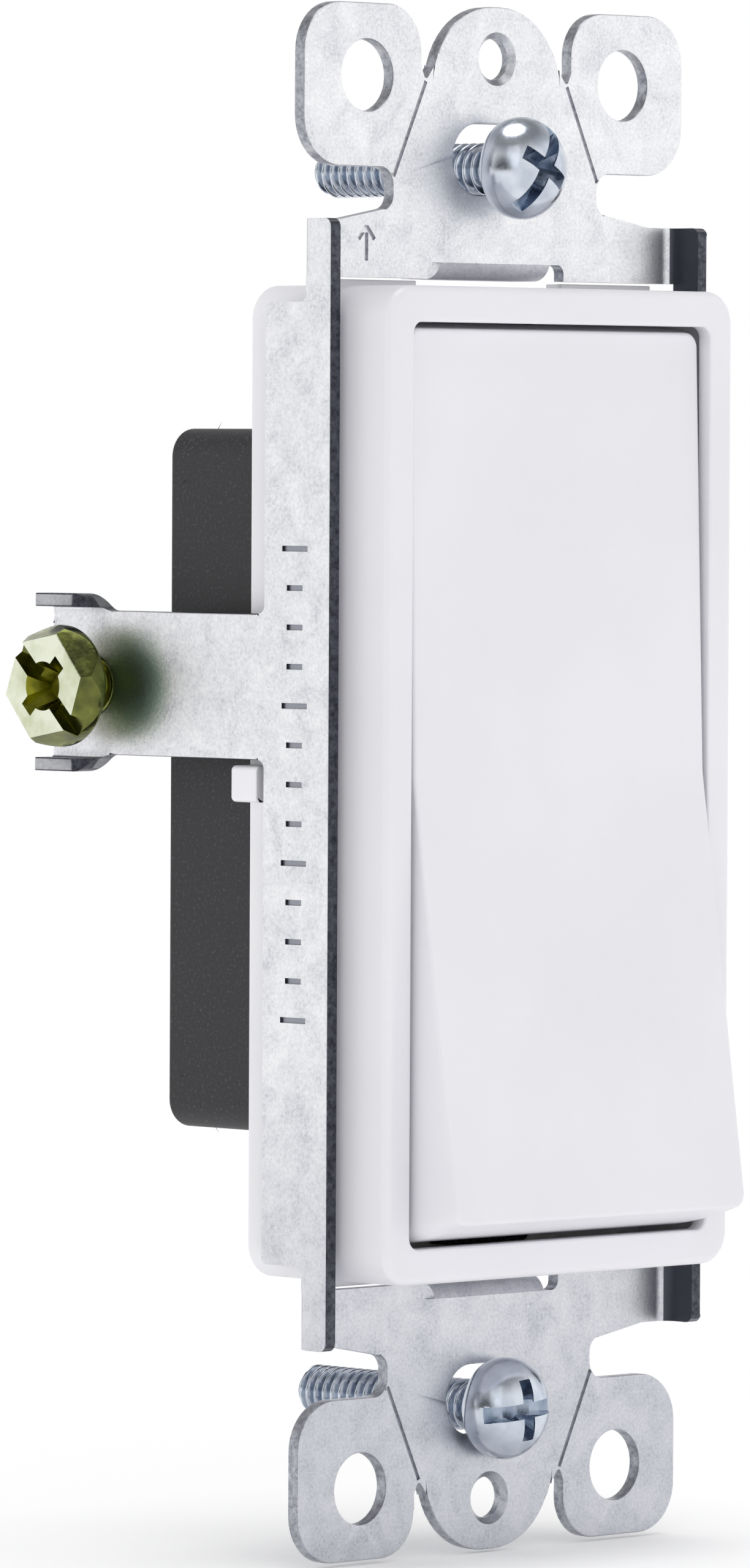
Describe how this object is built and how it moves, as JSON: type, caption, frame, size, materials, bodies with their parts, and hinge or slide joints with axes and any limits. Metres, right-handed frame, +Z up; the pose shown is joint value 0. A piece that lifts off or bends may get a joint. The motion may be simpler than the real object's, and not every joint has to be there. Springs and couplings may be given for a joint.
{
  "type": "decorator wall switch",
  "caption": "Decorator wall switch: white rocking paddle in a raised frame, black terminal housing behind, steel mounting strap with break-off ears, side ground tab.",
  "frame": {"origin": "centre of the mounting strap's back face, the plane that rests on the wall or box, midway between its ears", "axes": "+X to the right as seen from the room, +Y into the wall, +Z up; the room is on the -Y side"},
  "size_m": [0.0405, 0.0351, 0.1038],
  "materials": {
    "galvanised_steel": "hot-dip galvanised sheet, mottled, bright sheared edges",
    "white_moulding": "injection-moulded thermoplastic, satin",
    "black_moulding": "injection-moulded phenolic, fine grain",
    "plunger_acetal": "self-lubricating acetal, as moulded",
    "spring_wire": "music wire, oil tempered",
    "stop_rubber": "soft die-cut rubber",
    "copper_strip": "stamped copper alloy strip",
    "silver_contact": "silver alloy contact rivet",
    "terminal_brass": "stamped and tapped brass",
    "clip_steel": "bent stainless spring leaf",
    "zinc_screw": "bright zinc plate, bluish",
    "green_screw": "yellow-green chromate over zinc"
  },
  "bodies": {
    "switch_body": {"mounting_strap": "galvanised_steel", "front_frame": "white_moulding", "housing_cover": "white_moulding", "rear_housing": "black_moulding", "quiet_stop_pads": "stop_rubber", "fixed_contact": "silver_contact", "common_terminal": "terminal_brass", "switched_terminal": "terminal_brass", "upper_push_in_clip": "clip_steel", "lower_push_in_clip": "clip_steel", "assembly_screws": "zinc_screw"},
    "paddle": {"paddle": "white_moulding", "plunger_spring": "spring_wire"},
    "plunger": {"plunger": "plunger_acetal"},
    "contact_rocker": {"contact_rocker": "copper_strip", "moving_contact": "silver_contact"},
    "upper_terminal_screw": {"upper_terminal_screw": "zinc_screw"},
    "lower_terminal_screw": {"lower_terminal_screw": "zinc_screw"},
    "ground_screw": {"ground_screw": "green_screw"},
    "upper_mounting_screw": {"upper_mounting_screw": "zinc_screw"},
    "lower_mounting_screw": {"lower_mounting_screw": "zinc_screw"}
  },
  "joints": [
    {"name": "paddle_rock", "type": "hinge", "parent": "switch_body", "child": "paddle", "pos_m": [0, -0.0011, 0], "axis": [1, 0, 0], "range_deg": [0, 9.8]},
    {"name": "contact_tip", "type": "hinge", "parent": "switch_body", "child": "contact_rocker", "pos_m": [0, 0.0095, 0], "axis": [1, 0, 0], "range_deg": [-10, 0]},
    {"name": "plunger_slide", "type": "slide", "parent": "paddle", "child": "plunger", "axis": [0, 0.9963, -0.0854], "range_m": [-0.0004, 0], "stiffness_N_per_m": 200, "springref_m": 0.001, "deforming": ["plunger_spring"]},
    {"name": "upper_terminal_screw_turn", "type": "hinge", "parent": "switch_body", "child": "upper_terminal_screw", "pos_m": [0.0153, 0.0102, 0.0127], "axis": [1, 0, 0], "continuous": true},
    {"name": "lower_terminal_screw_turn", "type": "hinge", "parent": "switch_body", "child": "lower_terminal_screw", "pos_m": [0.0153, 0.0102, -0.0127], "axis": [1, 0, 0], "continuous": true},
    {"name": "ground_screw_turn", "type": "hinge", "parent": "switch_body", "child": "ground_screw", "pos_m": [-0.0204, 0.0194, 0.0062], "axis": [1, 0, 0], "continuous": true},
    {"name": "upper_mounting_screw_turn", "type": "hinge", "parent": "switch_body", "child": "upper_mounting_screw", "pos_m": [0, 0, 0.04107], "axis": [0, 1, 0], "continuous": true},
    {"name": "lower_mounting_screw_turn", "type": "hinge", "parent": "switch_body", "child": "lower_mounting_screw", "pos_m": [0, 0, -0.04227], "axis": [0, 1, 0], "continuous": true}
  ],
  "couplings": [
    {"joint": "contact_tip", "follows": "paddle_rock", "ratio": -1.0204}
  ]
}
